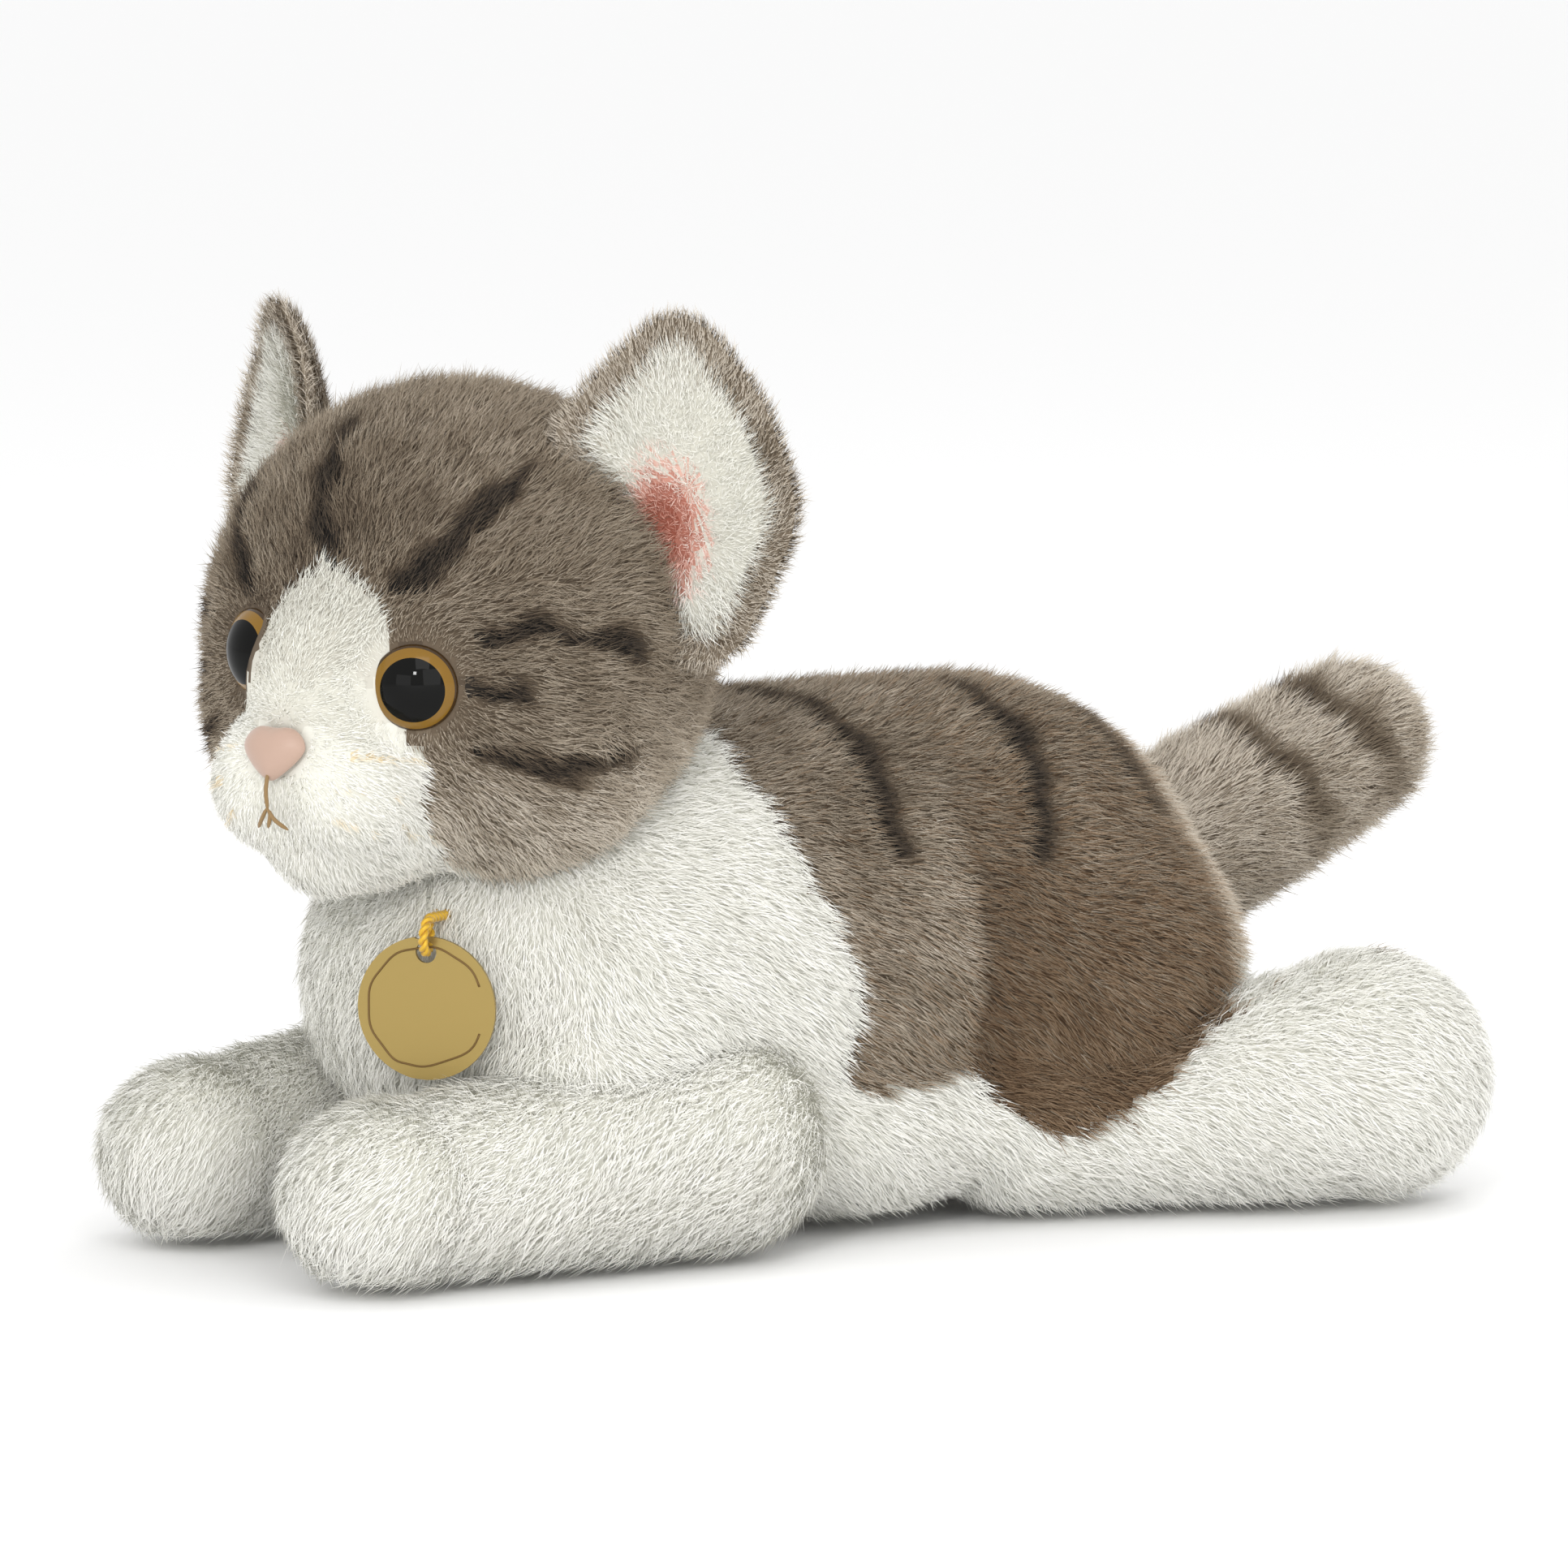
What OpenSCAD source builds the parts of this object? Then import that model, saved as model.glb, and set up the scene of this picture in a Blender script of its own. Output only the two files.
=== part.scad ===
// Small lying plush cat. The nose points along -Y, the left side is +X and +Z is up.
// The origin is the middle of the flat belly panel, on the surface that the cat lies on.

/* [Body] */
// Radius of the stuffed body at its fullest
torso_r = 38; // [37:0.5:38.5]
// Distance from the widest front section to the front of the chest
chest_reach = 59; // [57:1:60]
// Distance from the widest rear section to the end of the rump
rump_reach = 42; // [40:1:44]
// Thickness of the pile fabric, pressed flat
skin = 3; // [2.5:0.1:3.2]

/* [Belly panel] */
// Width of the flat panel that the cat rests on
panel_w = 30; // [24:1:34]
// Length of the flat panel
panel_l = 78; // [60:1:80]
// Thickness of the flat panel
panel_t = 2.4; // [2:0.1:3]

/* [Head] */
// Radius of the head ball
head_r = 36; // [35:0.5:36]
// Height of the head's centre above the surface
head_z = 87; // [87:0.5:90]
// Radius of the muzzle
muzzle_r = 19; // [17:0.5:19.5]
// How far the head is sewn turned towards its left side, in degrees
head_turned = 19; // [0:1:22]

/* [Eyes] */
// Radius of each safety eye
eye_r = 6; // [5:0.25:6]
// Radius of the stem behind each eye
stem_r = 1.6; // [1.4:0.1:2]

/* [Ears] */
// Angle that each ear opens outwards, in degrees
ear_open = 29; // [25:1:33]
// Thickness of the ear's furry back
ear_back_t = 3; // [2.4:0.1:3]
// Thickness of the ear's lining
ear_lining_t = 1.8; // [1.4:0.1:2]

/* [Legs] */
// Radius of each front paw
paw_r = 13.5; // [12:0.5:14]
// Radius of each hind foot
foot_r = 19; // [17:0.5:19]

/* [Tail] */
// Radius of the tail
tail_r = 12; // [10.5:0.5:12]
// Distance from the tail's joint to the middle of its round tip
tail_l = 46; // [40:1:48]

/* [Tag] */
// Width of the card tag
tag_w = 20; // [18.5:0.5:20.5]
// Thickness of the card
tag_t = 0.6; // [0.4:0.1:0.8]
// Radius of the hole that the cord goes through
tag_hole_r = 1.5; // [1.4:0.1:1.8]
// Radius of the twisted cord
cord_r = 0.75; // [0.6:0.05:0.8]

/* [Hidden] */
$fn = 48;
gap = 0.4;            // between pieces that move past each other
ease = 0.15;          // between a piece and what it sits in
far = 300;            // larger than the whole cat

// Places of the joints and of the main volumes
torso_z = 39;
chest_y = -20;        // widest section at the chest
loin_y = 28;          // widest section at the loins
head_at = [2, -58, head_z];
muzzle_at = [-1, -22, -16.3];      // from the head's centre, before the head is turned
hind_room_top = 33;
front_room_top = 33.4;
shoulder_at = [30, -34, 16.5];
shoulder_r = 16.5;
paw_at = [24, -86, paw_r];
hip_at = [27, 22, 13];
hip_r = 13;
foot_at = [47, 72, foot_r];
tail_at = [0, 66, 45];
tail_rise = 22;
tag_facing = 38;                 // degrees that the tag faces towards the cat's left
loop_at = [18.8, -74.6, 47.8];   // middle of the round loop that the tag hangs and swings on
loop_r = 2.4;                    // radius of that loop's middle line
strand = 0.85;                   // from the middle to each side of the doubled cord
seam_back = 13;                  // from the loop back to the seam that the cord is sewn into
neck_r = 9;
neck_l = 24;
tail_root_r = 7;
pouch_r = 11;
pouch_l = 44;
pouch_z = 19;

// Trim on the head
eye_turn = 23;        // degrees between the middle of the face and each eye
face_turn = 5;        // degrees that the eyes and the blaze are sewn further round than the muzzle
face_tilt = 8;        // degrees that they tilt down towards the cat's left
eye_drop = 3.5;       // degrees that each eye looks down
eye_back = 34.2;      // from the head's centre to the back of the dome
dome_r = 7.5;         // radius of the dome's curve
washer_r = 5.4;
washer_t = 1.5;
washer_at = 31.2;
stem_end = 24;
face_back = 3;        // the white face starts this far in front of the head's centre
nose_up = 12;         // degrees that the nose tips up
nose_t = 3.6;
thread_r = 0.42;
stitch_out = 0.8;     // from the fabric to the middle of the thread that lies on it
ear_plane = 13.5;     // the ear stands this far in front of the head's centre
ear_seam_r = 37.6;    // the ear's base follows the head at this radius

// Colours
grey = [0.45, 0.4, 0.35];
white = [0.93, 0.92, 0.89];
fibre = [0.97, 0.97, 0.97];
pink = [0.86, 0.63, 0.58];
gold = [0.79, 0.66, 0.35];

// A limb's outline, to be turned about its own axis: a round start, a smooth run and a round end
function limb_outline(r0, r_mid, r1, l) = concat(
    [for (a = [-90:15:0]) [r0 * cos(a), r0 * sin(a)]],
    [for (t = [0.2:0.2:0.8]) [(1 - t) ^ 2 * r0 + 2 * t * (1 - t) * r_mid + t ^ 2 * r1, t * l]],
    [for (a = [0:15:90]) [r1 * cos(a), l + r1 * sin(a)]]);

module limb(r0, r_mid, r1, from, to) {
    way = to - from;
    translate(from)
        rotate([0, acos(way[2] / norm(way)), atan2(way[1], way[0])])
            rotate_extrude() polygon(limb_outline(r0, r_mid, r1, norm(way)));
}

module on_right(side) {
    mirror([side == "right" ? 1 : 0, 0, 0]) children();
}

// ---- body ----

// The body's outline along its length: full between the chest and the loins, round at both ends
function body_outline(inset) = let (r = torso_r - inset, c = chest_reach - inset, l = rump_reach - inset)
    concat(
        [for (a = [-90:10:0]) [r * sqrt(1 - pow(-sin(a), 2.4)), chest_y + c * sin(a)]],
        [for (a = [0:10:90]) [r * sqrt(1 - pow(sin(a), 2.4)), loin_y + l * sin(a)]]);

module body_mass(inset) {
    translate([0, 0, torso_z])
        rotate([-90, 0, 0]) rotate_extrude() polygon(body_outline(inset));
}

// Room, seen from above, for both legs of a pair as they swing outwards about their upright joints
module leg_room(at, r, end, end_r) {
    along = atan2(end[1] - at[1], end[0] - at[0]);
    turn = at[1] < 0 ? 1 : -1;
    for (side = ["left", "right"]) on_right(side) translate([at[0], at[1]]) {
        circle(r + gap);
        rotate(along) translate([0, turn > 0 ? -(end_r + 4) : -far]) square([far, far + end_r + 4]);
    }
}

module belly_outline(grow) {
    straight = panel_l / 2 - panel_w / 2;
    for (s = [-1, 1]) translate([0, s * straight]) circle(panel_w / 2 + grow);
    square([panel_w + 2 * grow, 2 * straight], center = true);
}

// Everything that the body makes room for
module body_room() {
    translate(head_at) {
        sphere(head_r + gap + ease);
        translate([0, 0, 4 - head_r - neck_l - ease]) cylinder(r = neck_r + gap, h = neck_l);
        // the muzzle's path as the head turns and nods, in front of the neck only
        intersection() {
            rotate_extrude() translate([-muzzle_at[1] - 1.5, muzzle_at[2] - 3.2]) circle(muzzle_r + 1);
            translate([-far / 2, -far, -far / 2]) cube([far, far, far]);
        }
    }
    translate([0, 0, -1]) linear_extrude(front_room_top + 1) {
        leg_room(shoulder_at, shoulder_r, paw_at, paw_r);
        translate([-far / 2, -far - 46]) square([far, far]);
    }
    translate([0, 0, -1]) linear_extrude(hind_room_top + 1) leg_room(hip_at, hip_r, foot_at, hip_r);
    translate(tail_at) {
        sphere(tail_r + gap + ease);
        rotate([tail_rise - 90, 0, 0]) translate([0, 0, -2]) cylinder(r1 = tail_r + 1.5, r2 = 1.7 * tail_r, h = 1.5 * tail_r);
    }
    translate([0, 0, -1]) linear_extrude(panel_t + 1) belly_outline(0);
}

// The outline, seen from the side, that the grey back covers
module grey_side() {
    rotate([90, 0, 90]) linear_extrude(far, center = true)
        polygon([[-26, 120], [-20, 60], [-13, 45], [-9, 30], [-11, 19], [12, 17], [27, 8], [44, 14],
            [56, 30], [64, 34], [67, 60], [66, 120]]);
}

module body_shell() {
    difference() {
        body_mass(0);
        body_mass(skin);
        body_room();
    }
}

module back_skin() {
    color(grey) intersection() {
        body_shell();
        grey_side();
    }
}

module belly_skin() {
    color(white) difference() {
        body_shell();
        grey_side();
    }
}

module belly_panel() {
    color(white) linear_extrude(panel_t) belly_outline(-ease);
}

module pouch_shape(grow) {
    translate([0, -pouch_l / 2, pouch_z])
        rotate([-90, 0, 0]) rotate_extrude()
            polygon(limb_outline(pouch_r + grow, pouch_r + 2 + grow, pouch_r + grow, pouch_l));
}

module torso_stuffing() {
    color(fibre) difference() {
        body_mass(skin + ease);
        body_room();
        pouch_shape(ease);
    }
}

module pellet_pouch() {
    color([0.8, 0.8, 0.76]) pouch_shape(0);
}

module neck_stuffing() {
    color(fibre) difference() {
        translate(head_at) translate([0, 0, 4 - head_r - neck_l]) cylinder(r = neck_r, h = neck_l);
        translate(head_at) sphere(head_r + gap);
    }
}

// ---- head, drawn looking along -Y with its centre at the origin, then turned and lifted ----

module head_place() {
    translate(head_at) rotate([0, 0, head_turned]) children();
}

module head_mass(inset) {
    sphere(head_r - inset);
    translate(muzzle_at) sphere(muzzle_r - inset);
}

module eye_place(side) {
    head_place() rotate([0, face_tilt, face_turn]) on_right(side)
        rotate([0, 0, eye_turn]) rotate([90 + eye_drop, 0, 0]) children();
}

// Room for both eyes, in the head's own place
module eye_room() {
    for (side = ["left", "right"]) rotate([0, face_tilt, face_turn]) on_right(side)
        rotate([0, 0, eye_turn]) rotate([90 + eye_drop, 0, 0]) {
            translate([0, 0, eye_back - 1]) cylinder(r = eye_r + ease, h = 20);
            translate([0, 0, stem_end - 0.5]) cylinder(r = stem_r + ease, h = 20);
            translate([0, 0, washer_at - ease]) cylinder(r = washer_r + ease, h = washer_t + 2 * ease);
        }
}

// The white blaze, muzzle and chin, seen from the front
module white_face() {
    rotate([0, face_tilt, face_turn]) rotate([90, 0, 0]) translate([0, 0, face_back]) linear_extrude(far)
        polygon([[-4, 11], [4, 11], [9.5, 5], [10.4, -4], [12.5, -8], [16, -13], [17.5, -20], [15, -32],
            [15, -60], [-15, -60], [-15, -32], [-17.5, -20], [-16, -13], [-12.5, -8], [-10.4, -4], [-9.5, 5]]);
}

module head_shell() {
    difference() {
        head_mass(0);
        head_mass(skin);
        eye_room();
    }
}

module crown_skin() {
    color(grey) head_place() difference() {
        head_shell();
        white_face();
    }
}

module muzzle_skin() {
    color(white) head_place() intersection() {
        head_shell();
        white_face();
    }
}

module head_stuffing() {
    color(fibre) head_place() difference() {
        head_mass(skin + ease);
        eye_room();
    }
}

// Clear glossy dome over the amber ring and black pupil
module eye_dome(side) {
    rise = sqrt(dome_r ^ 2 - eye_r ^ 2);
    color([0.12, 0.09, 0.05]) eye_place(side) intersection() {
        translate([0, 0, eye_back - rise]) sphere(dome_r);
        translate([0, 0, eye_back]) cylinder(r = eye_r, h = dome_r);
    }
}

module eye_stem(side) {
    color([0.72, 0.5, 0.15]) eye_place(side) {
        translate([0, 0, eye_back - 0.9]) cylinder(r = eye_r, h = 0.9);
        translate([0, 0, stem_end]) cylinder(r = stem_r, h = eye_back - stem_end);
    }
}

module eye_washer(side) {
    color([0.9, 0.9, 0.88]) eye_place(side) translate([0, 0, washer_at]) difference() {
        cylinder(r = washer_r, h = washer_t);
        translate([0, 0, -1]) cylinder(r = stem_r + 0.05, h = washer_t + 2);
    }
}

// A padded satin patch: a rounded triangle, broad at the top
module nose() {
    color(pink) head_place() difference() {
        translate(muzzle_at) rotate([90 - nose_up, 0, 0]) translate([0, 0, muzzle_r - 1.5])
            linear_extrude(nose_t) hull() {
                for (s = [-1, 1]) translate([s * 2.9, 1.4]) circle(2.1);
                translate([0, -3]) circle(1.3);
            }
        translate(muzzle_at) sphere(muzzle_r + ease, $fn = 144);
    }
}

// A point on the muzzle: degrees sideways and degrees up, seen from the muzzle's own centre
function on_muzzle(sideways, up) = muzzle_at + (muzzle_r + stitch_out)
    * [sin(sideways) * cos(up), -cos(sideways) * cos(up), sin(up)];

module thread(from, to) {
    way = to - from;
    translate(from)
        rotate([0, acos(way[2] / norm(way)), atan2(way[1], way[0])]) cylinder(r = thread_r, h = norm(way));
    for (p = [from, to]) translate(p) sphere(1.15 * thread_r);
}

module mouth_stitching() {
    color([0.35, 0.25, 0.15]) head_place() {
        thread(on_muzzle(0, -4), on_muzzle(0, -10));
        thread(on_muzzle(0, -10), on_muzzle(0, -16));
        for (s = [-1, 1]) thread(on_muzzle(0, -16), on_muzzle(7 * s, -23));
    }
}

module ear_outline(inset) {
    hull() {
        translate([20, 29]) circle(4 - inset);
        translate([32.5, 39]) circle(6.5 - inset);
        translate([34.5, 28]) circle(11.5 - inset);
        translate([37, 19]) circle(12 - inset);
        translate([36, 5]) circle(7 - inset);
    }
}

module ear_plate(side, inset, from, thick) {
    head_place() on_right(side) difference() {
        rotate([0, 0, ear_open]) translate([0, -ear_plane - from, 0])
            rotate([90, 0, 0]) linear_extrude(thick) ear_outline(inset);
        sphere(ear_seam_r);
    }
}

module ear_back(side) {
    color(grey) ear_plate(side, 0, -ear_back_t, ear_back_t);
}

module ear_lining(side) {
    color(white) ear_plate(side, 3.2, 0, ear_lining_t);
}

// ---- legs ----

module front_leg(side, inset) {
    on_right(side)
        limb(shoulder_r - inset, paw_r - inset, paw_r - inset, shoulder_at, paw_at);
}

module hind_leg(side, inset) {
    on_right(side)
        limb(hip_r - inset, hip_r - 0.5 - inset, foot_r - inset, hip_at, foot_at);
}

module front_leg_skin(side) {
    color(white) difference() {
        front_leg(side, 0);
        front_leg(side, skin);
    }
}

module front_leg_stuffing(side) {
    color(fibre) front_leg(side, skin + ease);
}

module hind_leg_skin(side) {
    color(white) difference() {
        hind_leg(side, 0);
        hind_leg(side, skin);
    }
}

module hind_leg_stuffing(side) {
    color(fibre) hind_leg(side, skin + ease);
}

// ---- tail ----

module tail_mass(inset) {
    tip = tail_at + tail_l * [0, cos(tail_rise), sin(tail_rise)];
    limb(tail_r - inset, tail_r + 1 - inset, tail_r - 0.5 - inset, tail_at, tip);
}

module tail_skin() {
    color(grey) difference() {
        tail_mass(0);
        tail_mass(skin);
    }
}

module tail_stuffing() {
    color(fibre) difference() {
        tail_mass(skin + ease);
        translate(tail_at) sphere(tail_root_r + gap);
    }
}

module tail_root_stuffing() {
    color(fibre) translate(tail_at) sphere(tail_root_r);
}

// ---- tag ----

// The tag's own plane: X across the card, Y up it and Z out of its face, from the middle of its loop
module tag_place() {
    translate(loop_at) rotate([0, 0, tag_facing]) rotate([90, 0, 0]) children();
}

// A round leaf of card with a small notch at the top and a blunt point below
module tag_outline() {
    difference() {
        hull() {
            translate([0, -tag_w / 2 - 0.2]) circle(tag_w / 2);
            translate([-2, -18.4]) circle(1.6);
        }
        translate([-1.2, 0.2]) circle(0.8);
    }
}

module swing_tag() {
    color(gold) tag_place() translate([0, 0, -tag_t / 2]) difference() {
        linear_extrude(tag_t) tag_outline();
        translate([0, -loop_r, -1]) cylinder(r = tag_hole_r, h = tag_t + 2);
    }
}

// The cord lies side by side with itself from the seam, and goes round the card's top through its hole.
// The route is in the tag's own plane: across the card, up, and out of its face.
cord_route = concat(
    [[strand, 3.3, -seam_back], [strand, 2.4, -9.5], [strand, 2.1, -6], [0.7, 2.2, -3], [0.6, 2.3, -1.2]],
    [for (a = [75:-22.5:-195]) [0.6 * (a + 90) / 165, loop_r * sin(a), loop_r * cos(a)]],
    [[-0.8, 1.4, -3.6], [-strand, 1.9, -6], [-strand, 2.4, -9.5], [-strand, 3.4, -seam_back]]);

function direction(i) = let (n = len(cord_route) - 1,
    d = cord_route[min(i + 1, n)] - cord_route[max(i - 1, 0)]) d / norm(d);

module tag_cord() {
    sides = 8;
    rings = [for (i = [0:len(cord_route) - 1])
        let (d = direction(i), v = [1, 0, 0] - d[0] * d, u = v / norm(v), w = cross(d, u))
        [for (k = [0:sides - 1])
            cord_route[i] + cord_r * (cos(k * 360 / sides) * u + sin(k * 360 / sides) * w)]];
    last = len(rings) - 1;
    color(gold) tag_place() polyhedron(
        points = [for (ring = rings) each ring],
        faces = concat(
            [[for (k = [0:sides - 1]) k]],
            [for (i = [0:last - 1]) for (k = [0:sides - 1]) let (a = i * sides, b = (k + 1) % sides)
                each [[a + k, a + sides + b, a + b], [a + k, a + sides + k, a + sides + b]]],
            [[for (k = [sides - 1:-1:0]) last * sides + k]]));
}

back_skin();
belly_skin();
belly_panel();
torso_stuffing();
pellet_pouch();
neck_stuffing();
crown_skin();
muzzle_skin();
head_stuffing();
eye_dome("left");  // left_eye_dome
eye_dome("right");  // right_eye_dome
eye_stem("left");  // left_eye_stem
eye_stem("right");  // right_eye_stem
eye_washer("left");  // left_eye_washer
eye_washer("right");  // right_eye_washer
nose();
mouth_stitching();
ear_back("left");  // left_ear_back
ear_back("right");  // right_ear_back
ear_lining("left");  // left_ear_lining
ear_lining("right");  // right_ear_lining
front_leg_skin("left");  // left_front_leg_skin
front_leg_skin("right");  // right_front_leg_skin
front_leg_stuffing("left");  // left_front_leg_stuffing
front_leg_stuffing("right");  // right_front_leg_stuffing
hind_leg_skin("left");  // left_hind_leg_skin
hind_leg_skin("right");  // right_hind_leg_skin
hind_leg_stuffing("left");  // left_hind_leg_stuffing
hind_leg_stuffing("right");  // right_hind_leg_stuffing
tail_root_stuffing();
tail_skin();
tail_stuffing();
tag_cord();
swing_tag();
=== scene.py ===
# Small lying plush cat, in metres, in the frame of its CAD model.
import math
import bpy
import numpy as np
from mathutils import Matrix, Vector


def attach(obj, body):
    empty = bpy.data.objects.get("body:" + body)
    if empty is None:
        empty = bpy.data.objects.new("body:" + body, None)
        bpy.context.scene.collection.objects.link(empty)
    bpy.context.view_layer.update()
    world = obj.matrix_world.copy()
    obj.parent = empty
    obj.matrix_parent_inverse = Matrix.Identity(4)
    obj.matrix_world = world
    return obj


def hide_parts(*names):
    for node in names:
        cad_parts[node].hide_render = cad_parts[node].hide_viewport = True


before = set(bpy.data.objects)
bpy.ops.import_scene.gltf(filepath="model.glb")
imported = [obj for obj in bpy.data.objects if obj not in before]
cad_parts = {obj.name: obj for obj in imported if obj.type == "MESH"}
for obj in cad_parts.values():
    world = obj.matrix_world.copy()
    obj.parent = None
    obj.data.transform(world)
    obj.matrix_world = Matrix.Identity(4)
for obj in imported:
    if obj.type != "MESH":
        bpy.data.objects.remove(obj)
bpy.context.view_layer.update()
MM = 0.001

# ---- Studio ----
# A pale table top under large soft lamps, with the camera a little above the cat and to its left.

camera = bpy.data.objects.new("camera", bpy.data.cameras.new("camera"))
bpy.context.scene.collection.objects.link(camera)
look_at = Vector((0, 0, 0.062))
turn, rise = math.radians(54), math.radians(6.5)
toward = Vector((math.sin(turn) * math.cos(rise), -math.cos(turn) * math.cos(rise), math.sin(rise)))
camera.location = look_at + 1.1 * toward
camera.rotation_euler = toward.to_track_quat("Z", "Y").to_euler()
camera.data.sensor_width = 36
camera.data.lens = 173.6
camera.data.clip_start = 0.05
bpy.context.scene.camera = camera


def paint(name, rgb, rough=0.8, **more):
    """A plain material; rgb is the colour as seen, from 0 to 255."""
    m = bpy.data.materials.new(name)
    m.use_nodes = True
    s = m.node_tree.nodes["Principled BSDF"]
    linear = [(c / 255 / 12.92) if c / 255 <= 0.04045 else ((c / 255 + 0.055) / 1.055) ** 2.4 for c in rgb]
    s.inputs["Base Color"].default_value = (*linear, 1)
    s.inputs["Roughness"].default_value = rough
    for socket, value in more.items():
        s.inputs[socket.replace("_", " ")].default_value = value
    return m


world = bpy.data.worlds.new("studio")
bpy.context.scene.world = world
world.use_nodes = True
world.node_tree.nodes["Background"].inputs["Color"].default_value = (1, 1, 1, 1)
world.node_tree.nodes["Background"].inputs["Strength"].default_value = 1.0
bpy.context.scene.view_settings.view_transform = "Standard"

for name, way, side, power, size in [
    ("key", (0.75, -0.45, 0.8), 1.3, 2.0, 0.6),
    ("fill", (1.0, -0.2, 0.2), 1.4, 3.0, 0.9),
    ("top", (0.1, 0.4, 1.0), 1.2, 2.5, 0.8),
    ("low front", (0.35, -0.95, 0.02), 1.3, 1.3, 0.7),
    ("spark", (0.66, -0.72, 0.38), 1.1, 1.8, 0.11),
]:
    lamp = bpy.data.objects.new(name, bpy.data.lights.new(name, "AREA"))
    bpy.context.scene.collection.objects.link(lamp)
    way = Vector(way).normalized()
    lamp.location = look_at + side * way
    lamp.rotation_euler = way.to_track_quat("Z", "Y").to_euler()
    lamp.data.energy, lamp.data.size = power, size

bpy.ops.mesh.primitive_plane_add(size=40, location=(0, 0, -0.0002))
floor = bpy.context.object
floor.name = "table_top"
floor.data.materials.append(paint("table_top", (250, 250, 250), 0.9))

# ---- Tag cord ----
# Twisted gold cord of two plies. It is sewn into the neck seam, goes once round the card's top edge
# through its hole, and lies back beside itself into the same seam.

tag_facing = math.radians(38)
loop_at = Vector((18.8, -74.6, 47.8))
loop_r = 2.4          # of the round loop's middle line
strand = 0.85         # from the middle to each side of the doubled cord
seam_back = 13        # from the loop back to the seam
ply_r, ply_out, ply_turn = 0.39, 0.36, 2.6


def in_tag(x, y, z):
    """From the tag's own plane, across, up and out of its face, to the frame, in millimetres."""
    return loop_at + Vector((x * math.cos(tag_facing) + z * math.sin(tag_facing),
                             x * math.sin(tag_facing) - z * math.cos(tag_facing), y))


route = [(strand, 3.3, -seam_back), (strand, 2.4, -9.5), (strand, 2.1, -6), (0.7, 2.2, -3), (0.6, 2.3, -1.2)]
for i in range(13):
    a = math.radians(75 - 22.5 * i)
    route.append((0.6 * (math.degrees(a) + 90) / 165, loop_r * math.sin(a), loop_r * math.cos(a)))
route += [(-0.8, 1.4, -3.6), (-strand, 1.9, -6), (-strand, 2.4, -9.5), (-strand, 3.4, -seam_back)]
route = [in_tag(*p) for p in route]


def smooth_path(points, step):
    """The same route with points close together, rounded through every given point."""
    p = [points[0], *points, points[-1]]
    out = []
    for i in range(1, len(p) - 2):
        n = max(2, int((p[i + 1] - p[i]).length / step))
        for k in range(n):
            t = k / n
            out.append(0.5 * (2 * p[i] + (p[i + 1] - p[i - 1]) * t
                              + (2 * p[i - 1] - 5 * p[i] + 4 * p[i + 1] - p[i + 2]) * t * t
                              + (3 * p[i] - p[i - 1] - 3 * p[i + 1] + p[i + 2]) * t ** 3))
    return [*out, points[-1]]


def new_object(name, verts, faces, materials=()):
    """A mesh object from points in metres."""
    me = bpy.data.meshes.new(name)
    me.from_pydata([tuple(v) for v in verts], [], faces)
    me.update()
    o = bpy.data.objects.new(name, me)
    bpy.context.scene.collection.objects.link(o)
    for m in materials:
        me.materials.append(m)
    me.polygons.foreach_set("use_smooth", [True] * len(me.polygons))
    return o


def tube(path, radius, sides=8):
    """Points and faces of a round tube along a path; radius may be a number or one for each point."""
    verts, faces = [], []
    side = Vector((0.3, 0.5, 0.81))
    for i, p in enumerate(path):
        way = (path[min(i + 1, len(path) - 1)] - path[max(i - 1, 0)]).normalized()
        side = (side - way * side.dot(way)).normalized()
        across = way.cross(side)
        r = radius[i] if hasattr(radius, "__len__") else radius
        for k in range(sides):
            a = 2 * math.pi * k / sides
            verts.append((p + r * (math.cos(a) * side + math.sin(a) * across)) * MM)
    for i in range(len(path) - 1):
        for k in range(sides):
            j = (k + 1) % sides
            faces.append((i * sides + k, i * sides + j, (i + 1) * sides + j, (i + 1) * sides + k))
    faces += [tuple(range(sides))[::-1], tuple((len(path) - 1) * sides + k for k in range(sides))]
    return verts, faces


middle = smooth_path(route, 0.25)
verts, faces = [], []
for ply in (0, math.pi):
    side, gone, helix = Vector((0.3, 0.5, 0.81)), 0.0, []
    for i, p in enumerate(middle):
        way = (middle[min(i + 1, len(middle) - 1)] - middle[max(i - 1, 0)]).normalized()
        side = (side - way * side.dot(way)).normalized()
        gone += (p - middle[max(i - 1, 0)]).length
        a = ply + 2 * math.pi * gone / ply_turn
        helix.append(p + ply_out * (math.cos(a) * side + math.sin(a) * way.cross(side)))
    v, f = tube(helix, ply_r)
    faces += [tuple(k + len(verts) for k in face) for face in f]
    verts += v
tag_cord = new_object("tag_cord_twist", verts, faces,
                      [paint("gold_thread", (214, 170, 40), 0.42, Metallic=0.35, Sheen_Weight=0.3)])
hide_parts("tag_cord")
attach(tag_cord, "torso")

# ---- Card tag ----
# Gold foil on stiff card, die cut to a round leaf with a blunt point, with one plain line pressed in
# near its edge. It hangs by its hole on the cord's loop.

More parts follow.
